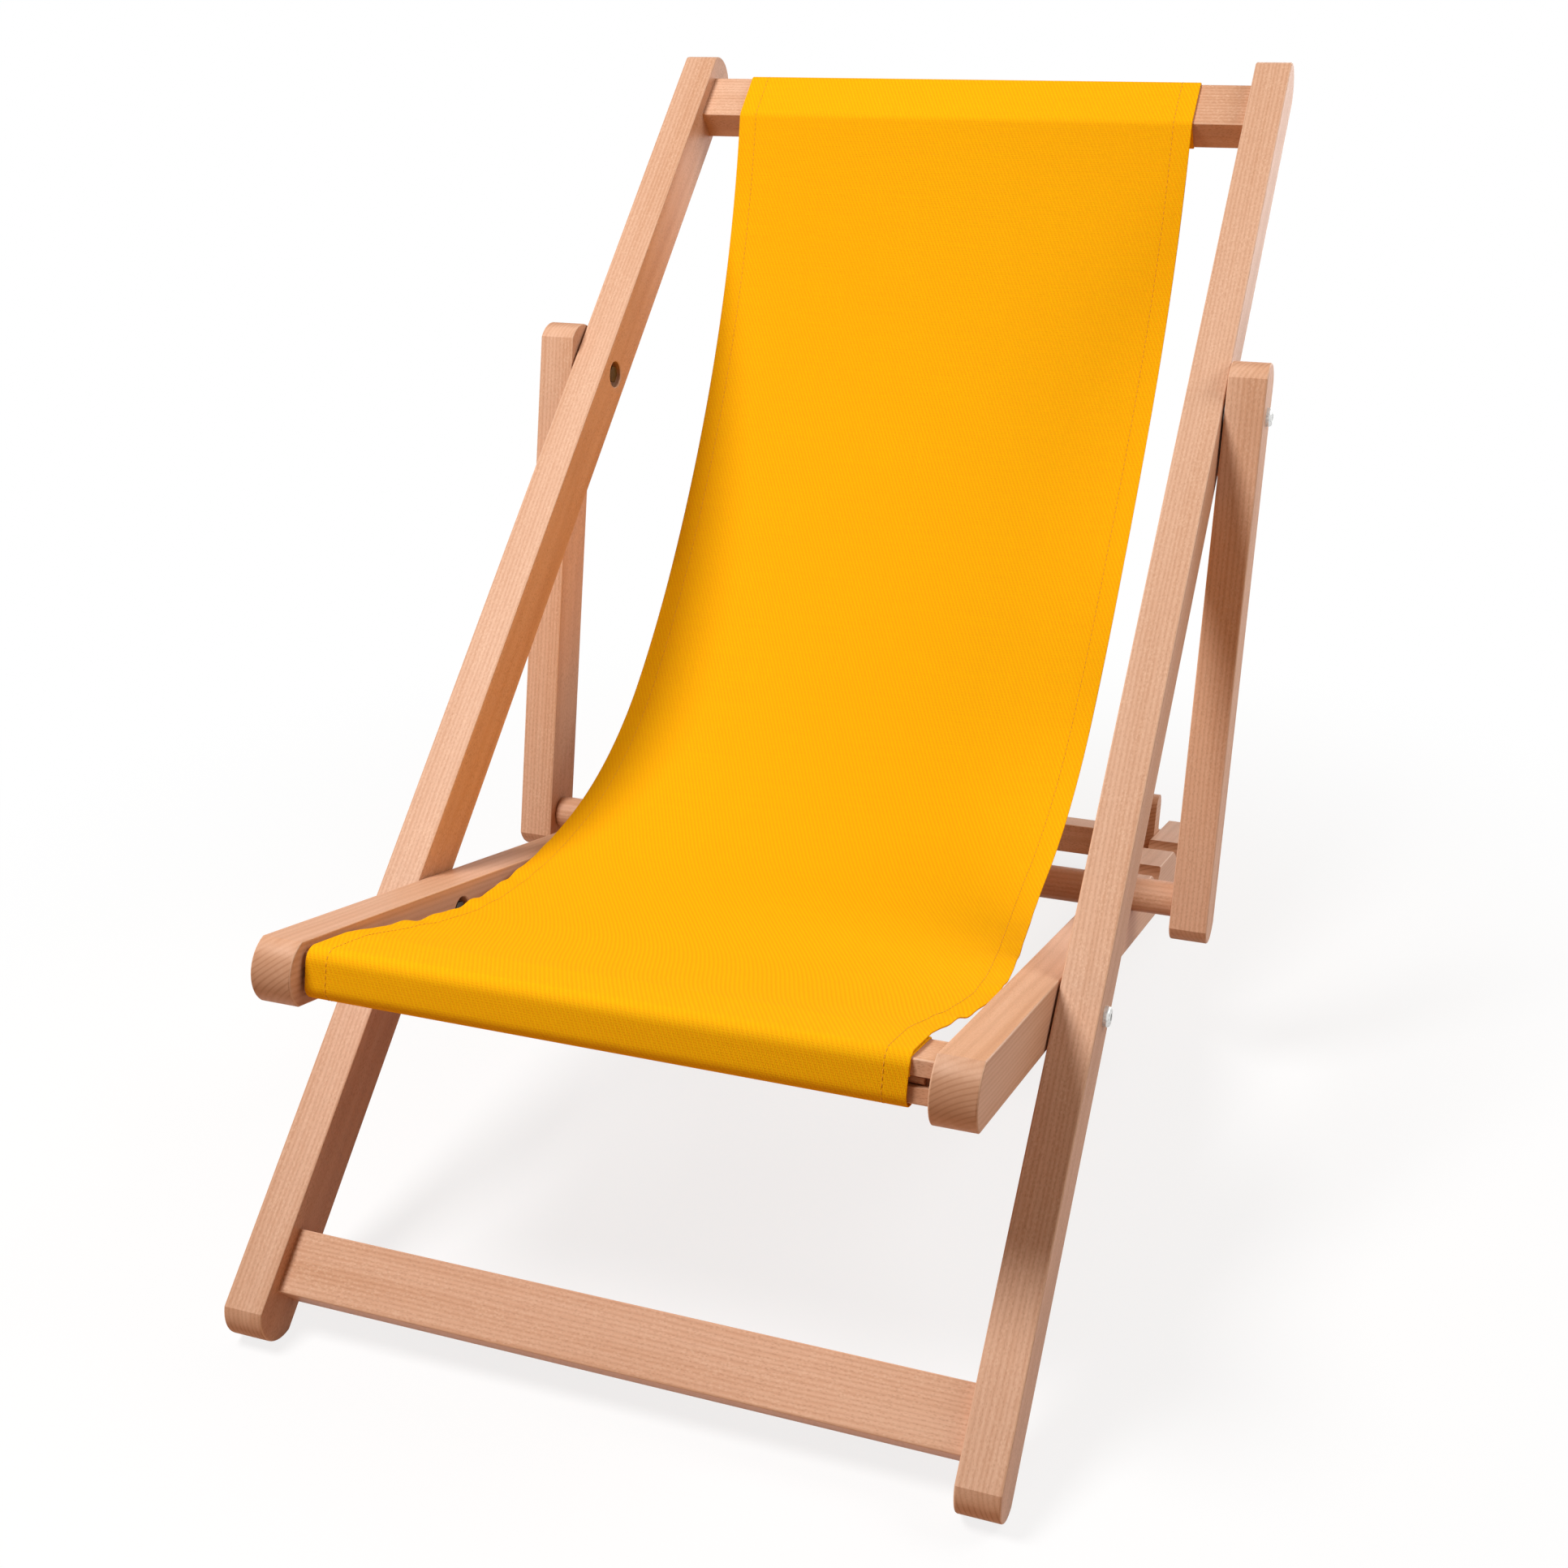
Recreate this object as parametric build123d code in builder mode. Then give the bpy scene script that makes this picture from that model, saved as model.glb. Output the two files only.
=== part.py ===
"""Folding deck chair: two hinged beech frames, a pair of props with a round bar, and a canvas sling.

Millimetres, +Z up, the sitter faces -Y, the floor is Z = 0 and the origin is under the middle.
Right means +X, the right-hand side of someone who stands in front of the chair.
"""
import os
from math import acos, asin, atan2, cos, degrees, hypot, radians, sin, tan

from build123d import *

# Beech bars
BAR_THICK = 30.0
BAR_DEPTH = 44.0
END_RISE = 13.0
EDGE_RADIUS = 1.3

# Frames
CHAIR_WIDTH = 550.0
BACK_LENGTH = 1200.0
SEAT_LENGTH = 935.0
SIDE_GAP = 1.5

# Pivots, measured along the bars
SEAT_PIVOT_UP_BACK = 333.0
SEAT_PIVOT_FROM_FRONT = 230.0
PROP_PIVOT_UP_BACK = 838.0
PROP_PIVOT_FROM_TOP = 41.0

# Prop bar and its notches in the top edge of the seat stiles
BAR_DIAMETER = 28.0
BAR_FROM_PIVOT = 390.0
BAR_FROM_PROP_END = 32.0
BAR_END_GAP = 0.5
NOTCH_DEPTH = 12.0
NOTCH_RAMP_ANGLE = 22.0
NOTCH_FROM_FRONT = 530.0
NOTCH_PITCH = 128.0
NOTCH_COUNT = 3
NOTCH_PLAY = 0.3

# Cross rails
RAIL_WIDTH = 45.0
RAIL_THICK = 28.0
TOP_RAIL_INSET = 27.0
BOTTOM_RAIL_INSET = 32.0
BACK_RAIL_RECESS = 10.5
FRONT_RAIL_INSET = 17.0
REAR_RAIL_INSET = 28.0
SEAT_RAIL_RECESS = 7.0
DOWEL_DIAMETER = 8.0
DOWEL_LENGTH = 44.0
DOWEL_SPACING = 13.0

# Slots that hold the sling's rods
SLOT_WIDTH = 7.0
SLOT_DEPTH = 10.0
ROD_DIAMETER = 6.0
ROD_END_GAP = 8.0
ROD_GAP = 0.3

# Pivot hardware
BOLT_DIAMETER = 8.0
BOLT_PLAY = 0.05
HEAD_DIAMETER = 14.5
HEAD_HEIGHT = 4.4
SOCKET_FLATS = 5.0
SOCKET_DEPTH = 2.6
NUT_FLATS = 13.0
NUT_HEIGHT = 7.0
RECESS_DIAMETER = 22.0
RECESS_DEPTH = 9.0
RECESS_CHAMFER = 0.8
WASHER_DIAMETER = 24.0

# Nails that lock the props' lower ends
NAIL_DIAMETER = 3.0
NAIL_LENGTH = 28.0
NAIL_HEAD_DIAMETER = 5.0
NAIL_HEAD_HEIGHT = 1.2

# Stops behind the last notch
STOP_THICK = 14.0
STOP_LENGTH = 28.0
STOP_RISE = 38.0
STOP_LAP = 30.0
STOP_FROM_FRONT = 825.0
STOP_EDGE_RADIUS = 1.3
STOP_FLARE = 7.0
SCREW_DIAMETER = 4.0
SCREW_LENGTH = 32.0
SCREW_HEAD_DIAMETER = 8.0
SCREW_SPACING = 14.0

# Canvas sling
CANVAS_THICK = 1.2
CANVAS_WIDTH = 408.0
CANVAS_GAP = 0.3
SAG_DEPTH = 153.0
SAG_UP_BACK = 633.0
SAG_START_DIP = 4.0
SAG_END_RISE = 35.0

# Sections across the chair
back_outer = CHAIR_WIDTH / 2
back_inner = back_outer - BAR_THICK
seat_outer = back_inner - SIDE_GAP
seat_inner = seat_outer - BAR_THICK
prop_inner = back_outer + SIDE_GAP
prop_outer = prop_inner + BAR_THICK
half_depth = BAR_DEPTH / 2
end_radius = (half_depth**2 + END_RISE**2) / (2 * END_RISE)
bar_radius = BAR_DIAMETER / 2

# The bar's seat, measured from the seat pivot along and above the seat stile's middle line
notch_radius = bar_radius + NOTCH_PLAY
notch_floor = half_depth - NOTCH_DEPTH
notch_along = NOTCH_FROM_FRONT - SEAT_PIVOT_FROM_FRONT
bar_above = notch_floor + bar_radius

# The bar, the props and the back stiles make a triangle, which sets how far the seat is open
pivot_span = PROP_PIVOT_UP_BACK - SEAT_PIVOT_UP_BACK
bar_reach = hypot(notch_along, bar_above)
open_cosine = (pivot_span**2 + bar_reach**2 - BAR_FROM_PIVOT**2) / (2 * pivot_span * bar_reach)
open_angle = degrees(acos(open_cosine) + atan2(bar_above, notch_along))

# The back frame stands on its rounded ends, the seat frame on the lower corners of its rear ends
foot_along = SEAT_PIVOT_UP_BACK - end_radius
heel_along = SEAT_LENGTH - SEAT_PIVOT_FROM_FRONT - END_RISE
open_sin = sin(radians(open_angle))
open_cos = cos(radians(open_angle))
heel_rise = heel_along * open_sin + half_depth * open_cos
heel_run = foot_along + heel_along * open_cos - half_depth * open_sin
back_angle = degrees(atan2(heel_rise, heel_run) - asin(end_radius / hypot(heel_rise, heel_run)))
seat_angle = back_angle - open_angle


def turned(along, above, angle):
    """The (y, z) of a point given along and above a line that rises at an angle."""
    c = cos(radians(angle))
    s = sin(radians(angle))
    return along * c - above * s, along * s + above * c


# The seat pivot's place follows from the floor and from the middle of the chair's depth
foot_y, foot_z = turned(-foot_along, 0, back_angle)
pivot_z = end_radius - foot_z
seat_front_y = turned(end_radius - SEAT_PIVOT_FROM_FRONT, 0, seat_angle)[0]
seat_rear_y = turned(SEAT_LENGTH - SEAT_PIVOT_FROM_FRONT - end_radius, 0, seat_angle)[0]
top_y = turned(BACK_LENGTH - SEAT_PIVOT_UP_BACK - end_radius, 0, back_angle)[0]
front_y = min(foot_y, seat_front_y) - end_radius
back_y = max(top_y, seat_rear_y) + end_radius
pivot_y = -(front_y + back_y) / 2


def on_back(along, above):
    """The (y, z) of a point measured from the seat pivot up the back stiles."""
    y, z = turned(along, above, back_angle)
    return pivot_y + y, pivot_z + z


def on_seat(along, above):
    """The (y, z) of a point measured from the seat pivot back along the seat stiles."""
    y, z = turned(along, above, seat_angle)
    return pivot_y + y, pivot_z + z


def side_plane(x, point, angle):
    """A plane across the chair at x, with its own x axis along a bar and its y axis above it."""
    direction = (0, cos(radians(angle)), sin(radians(angle)))
    return Plane(origin=(x, *point), x_dir=direction, z_dir=(1, 0, 0))


def back_plane(x):
    return side_plane(x, on_back(0, 0), back_angle)


def seat_plane(x):
    return side_plane(x, on_back(0, 0), seat_angle)


prop_pivot = on_back(pivot_span, 0)
bar_centre = on_seat(notch_along, bar_above)
prop_angle = degrees(atan2(bar_centre[1] - prop_pivot[1], bar_centre[0] - prop_pivot[0]))


def prop_plane(x):
    return side_plane(x, prop_pivot, prop_angle)


back_middle = BACK_LENGTH / 2 - SEAT_PIVOT_UP_BACK
seat_middle = SEAT_LENGTH / 2 - SEAT_PIVOT_FROM_FRONT
prop_length = PROP_PIVOT_FROM_TOP + BAR_FROM_PIVOT + BAR_FROM_PROP_END
prop_middle = prop_length / 2 - PROP_PIVOT_FROM_TOP

# Rail middles, along and above the frames' middle lines
back_rail_above = half_depth - BACK_RAIL_RECESS - RAIL_THICK / 2
seat_rail_above = half_depth - SEAT_RAIL_RECESS - RAIL_THICK / 2
top_rail_along = BACK_LENGTH - SEAT_PIVOT_UP_BACK - TOP_RAIL_INSET - RAIL_WIDTH / 2
bottom_rail_along = BOTTOM_RAIL_INSET + RAIL_WIDTH / 2 - SEAT_PIVOT_UP_BACK
front_rail_along = FRONT_RAIL_INSET + RAIL_WIDTH / 2 - SEAT_PIVOT_FROM_FRONT
rear_rail_along = SEAT_LENGTH - SEAT_PIVOT_FROM_FRONT - REAR_RAIL_INSET - RAIL_WIDTH / 2

# Dowels sit in the middle of the wood that a rail's slot leaves
dowel_depth = DOWEL_LENGTH / 2
top_dowel_along = top_rail_along - SLOT_DEPTH / 2
front_dowel_along = front_rail_along + SLOT_DEPTH / 2

bore_diameter = BOLT_DIAMETER + 2 * BOLT_PLAY
stop_along = STOP_FROM_FRONT - SEAT_PIVOT_FROM_FRONT + STOP_LENGTH / 2
stop_rear = stop_along + STOP_LENGTH / 2
stop_low = half_depth - STOP_LAP
stop_inner = seat_inner - STOP_THICK
screw_above = half_depth - STOP_LAP / 2

os.makedirs("parts", exist_ok=True)


def save(part, name):
    part.label = name
    export_step(part, f"parts/{name}.step")


def bar_outline(middle, length):
    """The side view of a bar, whose ends are rounded from corner to corner."""
    with Locations((middle, 0)):
        SlotOverall(length, 2 * end_radius)
        Rectangle(length, BAR_DEPTH, mode=Mode.INTERSECT)


def round_long_edges(part):
    """Breaks the edges round both wide faces of a bar."""
    faces = part.faces().filter_by(Axis.X).sort_by(Axis.X)
    fillet(faces[0].edges() + faces[-1].edges(), EDGE_RADIUS)


def dowel_holes(plane, along, above, depth):
    """A pair of blind holes for the dowels of one rail end."""
    with BuildSketch(plane) as holes:
        with Locations((along, above)):
            with GridLocations(DOWEL_SPACING, 0, 2, 1):
                Circle(DOWEL_DIAMETER / 2)
    extrude(holes.sketch, amount=depth, mode=Mode.SUBTRACT)


def pivot_hole(plane, along, length):
    with BuildSketch(plane) as hole:
        with Locations((along, 0)):
            Circle(bore_diameter / 2)
    extrude(hole.sketch, amount=length, mode=Mode.SUBTRACT)


def nut_recess(plane, along):
    """A flat-bottomed recess with a broken mouth, sunk from an inner face."""
    with BuildSketch(plane) as recess:
        with Locations((along, 0)):
            Circle(RECESS_DIAMETER / 2)
    extrude(recess.sketch, amount=RECESS_DEPTH, mode=Mode.SUBTRACT)
    with BuildSketch(plane) as mouth:
        with Locations((along, 0)):
            Circle(RECESS_DIAMETER / 2 + RECESS_CHAMFER)
    extrude(mouth.sketch, amount=RECESS_CHAMFER, taper=45, mode=Mode.SUBTRACT)


# Back stiles, with the nut recess of the prop pivot in the inner face
with BuildPart() as back_stile_right:
    with BuildSketch(back_plane(back_inner)):
        bar_outline(back_middle, BACK_LENGTH)
    extrude(amount=BAR_THICK)
    round_long_edges(back_stile_right.part)
    pivot_hole(back_plane(back_inner), 0, BAR_THICK)
    pivot_hole(back_plane(back_inner), pivot_span, BAR_THICK)
    nut_recess(back_plane(back_inner), pivot_span)
    dowel_holes(back_plane(back_inner), top_dowel_along, back_rail_above, dowel_depth)
    dowel_holes(back_plane(back_inner), bottom_rail_along, back_rail_above, dowel_depth)
save(back_stile_right.part, "back_stile_right")

with BuildPart() as back_stile_left:
    mirror(back_stile_right.part, about=Plane.YZ)
save(back_stile_left.part, "back_stile_left")


def notch_profile():
    """The notches that the prop bar drops into: a ramp in front, a round floor and an upright rear wall."""
    ramp = radians(NOTCH_RAMP_ANGLE)
    ramp_foot = -notch_radius * sin(ramp)
    ramp_low = bar_above - notch_radius * cos(ramp)
    mouth = half_depth + bar_radius
    ramp_head = ramp_foot - (mouth - ramp_low) / tan(ramp)
    for step in range(NOTCH_COUNT):
        along = notch_along + step * NOTCH_PITCH
        with BuildLine() as outline:
            Polyline(
                (along + ramp_foot, ramp_low),
                (along + ramp_head, mouth),
                (along + notch_radius, mouth),
                (along + notch_radius, bar_above),
            )
            ThreePointArc(
                (along + notch_radius, bar_above),
                (along, bar_above - notch_radius),
                (along + ramp_foot, ramp_low),
            )
        make_face(outline.edges())


# Seat stiles, notched along the top edge behind the pivot
with BuildPart() as seat_stile_right:
    with BuildSketch(seat_plane(seat_inner)):
        bar_outline(seat_middle, SEAT_LENGTH)
    extrude(amount=BAR_THICK)
    round_long_edges(seat_stile_right.part)
    with BuildSketch(seat_plane(seat_inner)):
        notch_profile()
    extrude(amount=BAR_THICK, mode=Mode.SUBTRACT)
    pivot_hole(seat_plane(seat_inner), 0, BAR_THICK)
    nut_recess(seat_plane(seat_inner), 0)
    dowel_holes(seat_plane(seat_inner), front_dowel_along, seat_rail_above, dowel_depth)
    dowel_holes(seat_plane(seat_inner), rear_rail_along, seat_rail_above, dowel_depth)
    with BuildSketch(seat_plane(stop_inner)):
        with Locations((stop_along, screw_above)):
            with GridLocations(SCREW_SPACING, 0, 2, 1):
                Circle(SCREW_DIAMETER / 2)
    extrude(amount=SCREW_LENGTH, mode=Mode.SUBTRACT)
save(seat_stile_right.part, "seat_stile_right")

with BuildPart() as seat_stile_left:
    mirror(seat_stile_right.part, about=Plane.YZ)
save(seat_stile_left.part, "seat_stile_left")

# Props, outside the back stiles, with a nail hole in the rear edge
with BuildPart() as prop_right:
    with BuildSketch(prop_plane(prop_inner)):
        bar_outline(prop_middle, prop_length)
    extrude(amount=BAR_THICK)
    round_long_edges(prop_right.part)
    pivot_hole(prop_plane(prop_inner), 0, BAR_THICK)
    nail_plane = prop_plane(prop_inner + BAR_THICK / 2)
    nail_edge = nail_plane.from_local_coords((BAR_FROM_PIVOT, half_depth, 0))
    nail_axis = -nail_plane.y_dir
    with BuildSketch(Plane(origin=nail_edge, z_dir=nail_axis)):
        Circle(NAIL_DIAMETER / 2)
    extrude(amount=NAIL_LENGTH, mode=Mode.SUBTRACT)
save(prop_right.part, "prop_right")

with BuildPart() as prop_left:
    mirror(prop_right.part, about=Plane.YZ)
save(prop_left.part, "prop_left")

with BuildPart() as bar_nails:
    with BuildSketch(Plane(origin=nail_edge, z_dir=nail_axis)):
        Circle(NAIL_DIAMETER / 2)
    extrude(amount=NAIL_LENGTH)
    with BuildSketch(Plane(origin=nail_edge, z_dir=-nail_axis)):
        Circle(NAIL_HEAD_DIAMETER / 2)
    extrude(amount=NAIL_HEAD_HEIGHT)
    mirror(about=Plane.YZ)
save(bar_nails.part, "bar_nails")

# The round bar that rests in the notches, between the props
with BuildPart() as prop_bar:
    with BuildSketch(seat_plane(BAR_END_GAP - prop_inner)):
        with Locations((notch_along, bar_above)):
            Circle(bar_radius)
    extrude(amount=2 * (prop_inner - BAR_END_GAP))
    chamfer(prop_bar.edges().filter_by(GeomType.CIRCLE), EDGE_RADIUS / 2)
save(prop_bar.part, "prop_bar")


def make_rail(plane, half_length, along, above, slot_side):
    """A rail between two stiles; slot_side is 1, -1 or 0 for the end of its width that has the rod slot."""
    with BuildPart() as rail:
        with BuildSketch(plane(-half_length)):
            with Locations((along, above)):
                RectangleRounded(RAIL_WIDTH, RAIL_THICK, EDGE_RADIUS)
        extrude(amount=2 * half_length)
        if slot_side:
            with BuildSketch(plane(-half_length)):
                with Locations((along + slot_side * (RAIL_WIDTH - SLOT_DEPTH) / 2, above)):
                    Rectangle(SLOT_DEPTH, SLOT_WIDTH)
            extrude(amount=2 * half_length, mode=Mode.SUBTRACT)
        dowel_along = along - slot_side * SLOT_DEPTH / 2
        dowel_holes(plane(half_length - dowel_depth), dowel_along, above, dowel_depth)
        dowel_holes(plane(-half_length), dowel_along, above, dowel_depth)
    return rail.part


def make_dowels(plane, half_length, along, above):
    """Two dowels across each end of a rail, half in the rail and half in the stile."""
    with BuildPart() as dowels:
        with BuildSketch(plane(half_length - dowel_depth)):
            with Locations((along, above)):
                with GridLocations(DOWEL_SPACING, 0, 2, 1):
                    Circle(DOWEL_DIAMETER / 2)
        extrude(amount=DOWEL_LENGTH)
        mirror(about=Plane.YZ)
    return dowels.part


def make_rod(plane, along, above, slot_side):
    """A rod at the bottom of a rail's slot, which holds the sling's hem."""
    rod_along = along + slot_side * (RAIL_WIDTH / 2 - SLOT_DEPTH + ROD_GAP + ROD_DIAMETER / 2)
    half_length = seat_inner - ROD_END_GAP
    with BuildPart() as rod:
        with BuildSketch(plane(-half_length)):
            with Locations((rod_along, above)):
                Circle(ROD_DIAMETER / 2)
        extrude(amount=2 * half_length)
    return rod.part


# Each rail with its dowels: the frame's plane, half length, place and slotted side
rails = {
    "top_rail": (back_plane, back_inner, top_rail_along, back_rail_above, 1),
    "bottom_rail": (back_plane, back_inner, bottom_rail_along, back_rail_above, 0),
    "front_rail": (seat_plane, seat_inner, front_rail_along, seat_rail_above, -1),
    "rear_rail": (seat_plane, seat_inner, rear_rail_along, seat_rail_above, 0),
}
for rail_name, (plane, half_length, along, above, slot_side) in rails.items():
    save(make_rail(plane, half_length, along, above, slot_side), rail_name)
    dowel_along = along - slot_side * SLOT_DEPTH / 2
    save(make_dowels(plane, half_length, dowel_along, above), f"{rail_name}_dowels")

save(make_rod(back_plane, top_rail_along, back_rail_above, 1), "top_fabric_rod")
save(make_rod(seat_plane, front_rail_along, seat_rail_above, -1), "front_fabric_rod")


def make_bolts(plane, head_face, nut_seat):
    """A pair of button-head bolts, head outside and thread end inside, with a hex socket."""
    tail = nut_seat - NUT_HEIGHT
    with BuildPart() as bolts:
        with BuildSketch(plane(tail)):
            Circle(BOLT_DIAMETER / 2)
        extrude(amount=head_face - tail)
        with BuildSketch(plane(head_face)):
            Circle(HEAD_DIAMETER / 2)
        extrude(amount=HEAD_HEIGHT)
        rim = bolts.edges().filter_by(GeomType.CIRCLE).sort_by(Axis.X)[-1]
        fillet(rim, HEAD_HEIGHT / 2)
        with BuildSketch(plane(head_face + HEAD_HEIGHT - SOCKET_DEPTH)):
            RegularPolygon(SOCKET_FLATS / 2, 6, major_radius=False)
        extrude(amount=SOCKET_DEPTH, mode=Mode.SUBTRACT)
        mirror(about=Plane.YZ)
    return bolts.part


def make_nuts(plane, nut_seat):
    """A pair of hexagon nuts on the bolts' inner ends."""
    with BuildPart() as nuts:
        with BuildSketch(plane(nut_seat - NUT_HEIGHT)):
            RegularPolygon(NUT_FLATS / 2, 6, major_radius=False)
            Circle(BOLT_DIAMETER / 2, mode=Mode.SUBTRACT)
        extrude(amount=NUT_HEIGHT)
        mirror(about=Plane.YZ)
    return nuts.part


def make_washers(plane, face):
    """A pair of washers that keep two bars apart."""
    with BuildPart() as washers:
        with BuildSketch(plane(face)):
            Circle(WASHER_DIAMETER / 2)
            Circle(bore_diameter / 2, mode=Mode.SUBTRACT)
        extrude(amount=SIDE_GAP)
        mirror(about=Plane.YZ)
    return washers.part


def prop_pivot_plane(x):
    return side_plane(x, prop_pivot, back_angle)


# Each pivot's hardware: its plane, the face under the bolt head, the nut's seat, the washer's inner face
pivots = {
    "seat_pivot": (back_plane, back_outer, seat_inner + RECESS_DEPTH, seat_outer),
    "prop_pivot": (prop_pivot_plane, prop_outer, back_inner + RECESS_DEPTH, back_outer),
}
for pivot_name, (plane, head_face, nut_seat, washer_face) in pivots.items():
    save(make_bolts(plane, head_face, nut_seat), f"{pivot_name}_bolts")
    save(make_nuts(plane, nut_seat), f"{pivot_name}_nuts")
    save(make_washers(plane, washer_face), f"{pivot_name}_washers")


def screw_cones(plane):
    """The countersinks of a stop's screws, wide at the stop's inner face."""
    screw_head_height = (SCREW_HEAD_DIAMETER - SCREW_DIAMETER) / 2
    with BuildSketch(plane) as heads:
        with Locations((stop_along, screw_above)):
            with GridLocations(SCREW_SPACING, 0, 2, 1):
                Circle(SCREW_HEAD_DIAMETER / 2)
    return extrude(heads.sketch, amount=screw_head_height, taper=45, mode=Mode.PRIVATE)


# Stops behind the last notch, screwed to the inner faces of the seat stiles
with BuildPart() as bar_stop_right:
    with BuildSketch(seat_plane(stop_inner)):
        with Locations((stop_along, (stop_low + half_depth + STOP_RISE) / 2)):
            RectangleRounded(STOP_LENGTH, STOP_LAP + STOP_RISE, STOP_LENGTH * 0.49)
        with BuildLine() as flare:
            Polyline(
                (stop_rear, half_depth + STOP_FLARE),
                (stop_along, half_depth + STOP_FLARE),
                (stop_along, half_depth - STOP_FLARE),
                (stop_rear, half_depth - STOP_FLARE),
                (stop_rear + STOP_FLARE, half_depth),
            )
            RadiusArc((stop_rear + STOP_FLARE, half_depth), (stop_rear, half_depth + STOP_FLARE), STOP_FLARE)
        make_face(flare.edges())
    extrude(amount=STOP_THICK)
    fillet(bar_stop_right.faces().sort_by(Axis.X)[0].edges(), STOP_EDGE_RADIUS)
    with BuildSketch(seat_plane(stop_inner)):
        with Locations((stop_along, screw_above)):
            with GridLocations(SCREW_SPACING, 0, 2, 1):
                Circle(SCREW_DIAMETER / 2)
    extrude(amount=STOP_THICK, mode=Mode.SUBTRACT)
    add(screw_cones(seat_plane(stop_inner)), mode=Mode.SUBTRACT)
save(bar_stop_right.part, "bar_stop_right")

with BuildPart() as bar_stop_left:
    mirror(bar_stop_right.part, about=Plane.YZ)
save(bar_stop_left.part, "bar_stop_left")

with BuildPart() as stop_screws:
    with BuildSketch(seat_plane(stop_inner)):
        with Locations((stop_along, screw_above)):
            with GridLocations(SCREW_SPACING, 0, 2, 1):
                Circle(SCREW_DIAMETER / 2)
    extrude(amount=SCREW_LENGTH)
    add(screw_cones(seat_plane(stop_inner)))
    mirror(about=Plane.YZ)
save(stop_screws.part, "stop_screws")


def biarc(start, start_angle, end, end_angle):
    """Two tangent arcs from start to end that leave and arrive at the given angles, in degrees."""
    leave = Vector(cos(radians(start_angle)), sin(radians(start_angle)))
    arrive = Vector(cos(radians(end_angle)), sin(radians(end_angle)))
    chord = Vector(*end) - Vector(*start)
    both = leave + arrive
    spread = 2 * (1 - leave.dot(arrive))
    along = chord.dot(both)
    reach = (-along + (along**2 + spread * chord.dot(chord)) ** 0.5) / spread
    join = (Vector(*start) + Vector(*end) + (leave - arrive) * reach) / 2
    first = TangentArc(start, (join.X, join.Y), tangent=leave)
    TangentArc((join.X, join.Y), end, tangent=first % 1)


def rail_wrap(grow):
    """The outline round a rail at a distance from its faces."""
    RectangleRounded(RAIL_WIDTH + 2 * grow, RAIL_THICK + 2 * grow, EDGE_RADIUS + grow)


# The sling hangs from the front rail's top face to the top rail's front face, and wraps both rails
wrap_middle = CANVAS_GAP + CANVAS_THICK / 2
wrap_outer = CANVAS_GAP + CANVAS_THICK
leave_along = front_rail_along + RAIL_WIDTH / 2 - EDGE_RADIUS
arrive_along = top_rail_along - RAIL_WIDTH / 2 + EDGE_RADIUS
sling_start = on_seat(leave_along, seat_rail_above + RAIL_THICK / 2 + wrap_middle)
sling_low = on_back(SAG_UP_BACK - SEAT_PIVOT_UP_BACK, -SAG_DEPTH)
sling_end = on_back(arrive_along, back_rail_above + RAIL_THICK / 2 + wrap_middle)
with BuildPart() as sling:
    with BuildSketch(Plane.YZ.offset(-CANVAS_WIDTH / 2)):
        with BuildLine() as sag:
            biarc(sling_start, seat_angle - SAG_START_DIP, sling_low, back_angle)
            biarc(sling_low, back_angle, sling_end, back_angle + SAG_END_RISE)
        trace(sag.line, CANVAS_THICK)
    extrude(amount=CANVAS_WIDTH)
    for plane, along, above in (
        (seat_plane, front_rail_along, seat_rail_above),
        (back_plane, top_rail_along, back_rail_above),
    ):
        with BuildSketch(plane(-CANVAS_WIDTH / 2)):
            with Locations((along, above)):
                rail_wrap(wrap_outer)
        extrude(amount=CANVAS_WIDTH)
        with BuildSketch(plane(-CANVAS_WIDTH / 2)):
            with Locations((along, above)):
                rail_wrap(CANVAS_GAP)
        extrude(amount=CANVAS_WIDTH, mode=Mode.SUBTRACT)
save(sling.part, "sling")

sling_length = sum(edge.length for edge in sag.edges())
print(f"open angle {open_angle:.2f}, back {back_angle:.2f}, seat {seat_angle:.2f}, prop {prop_angle:.2f}")
print(f"seat pivot y {pivot_y:.2f} z {pivot_z:.2f}, prop pivot y {prop_pivot[0]:.2f} z {prop_pivot[1]:.2f}")
print(f"bar y {bar_centre[0]:.2f} z {bar_centre[1]:.2f}, sling length {sling_length:.1f}")
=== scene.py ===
"""Folding deck chair: beech frames, zinc-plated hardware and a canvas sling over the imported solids."""

import math

import bpy
import numpy as np
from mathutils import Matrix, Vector


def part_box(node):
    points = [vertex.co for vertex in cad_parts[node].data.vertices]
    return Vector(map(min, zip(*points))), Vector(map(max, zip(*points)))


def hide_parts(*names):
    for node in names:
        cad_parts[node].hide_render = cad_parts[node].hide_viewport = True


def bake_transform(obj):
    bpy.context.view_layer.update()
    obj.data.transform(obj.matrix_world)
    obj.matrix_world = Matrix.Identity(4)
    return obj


bl_info = {
    "name": "Folding Deck Chair",
    "version": (1, 0, 0),
    "blender": (4, 5, 0),
    "location": "View3D > Sidebar > Deck Chair",
    "description": "Dresses a folding beech deck chair and hangs its canvas sling",
    "category": "Object",
}

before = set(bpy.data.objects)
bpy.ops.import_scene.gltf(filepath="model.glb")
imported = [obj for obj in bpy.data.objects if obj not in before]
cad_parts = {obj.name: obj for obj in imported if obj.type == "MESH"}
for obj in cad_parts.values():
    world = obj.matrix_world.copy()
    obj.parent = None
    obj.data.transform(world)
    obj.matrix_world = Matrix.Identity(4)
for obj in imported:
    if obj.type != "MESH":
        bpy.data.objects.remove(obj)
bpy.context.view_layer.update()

ACROSS = np.array((1.0, 0.0, 0.0))

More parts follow.
